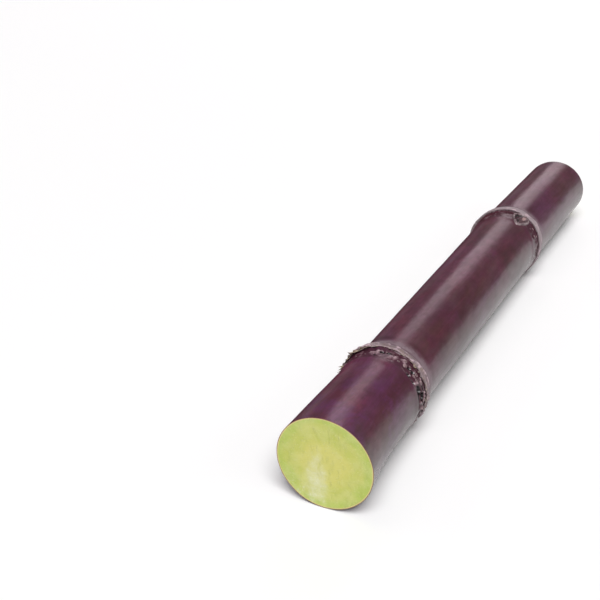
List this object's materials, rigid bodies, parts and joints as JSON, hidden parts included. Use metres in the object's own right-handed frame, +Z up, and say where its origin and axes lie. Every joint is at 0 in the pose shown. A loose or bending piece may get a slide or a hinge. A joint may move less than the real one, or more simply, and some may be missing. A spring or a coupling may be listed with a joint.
{
  "type": "sugarcane stalk",
  "caption": "Cut length of purple chewing cane lying on its side, with pale ringed nodes, a bud and flat cut ends of yellow-green flesh.",
  "frame": {"origin": "middle of the bottom of the stalk's box, on the surface that it lies on", "axes": "+Z up, +Y along the stalk from its upper cut to its lower cut, +X across it"},
  "size_m": [0.0416, 0.34, 0.0379],
  "materials": {
    "rind": "glossy dark purple rind with fine lengthwise streaks and a thin bloom",
    "flesh": "moist yellow-green cut flesh with pale fibre ends",
    "leaf_scar": "dry papery ragged edge where a leaf sheath came away",
    "root_band": "dark root spots with pale rims",
    "bud": "dull purple-brown bud scales with a pale edge"
  },
  "bodies": {
    "root": {"cane_stalk": "rind"}
  },
  "joints": []
}
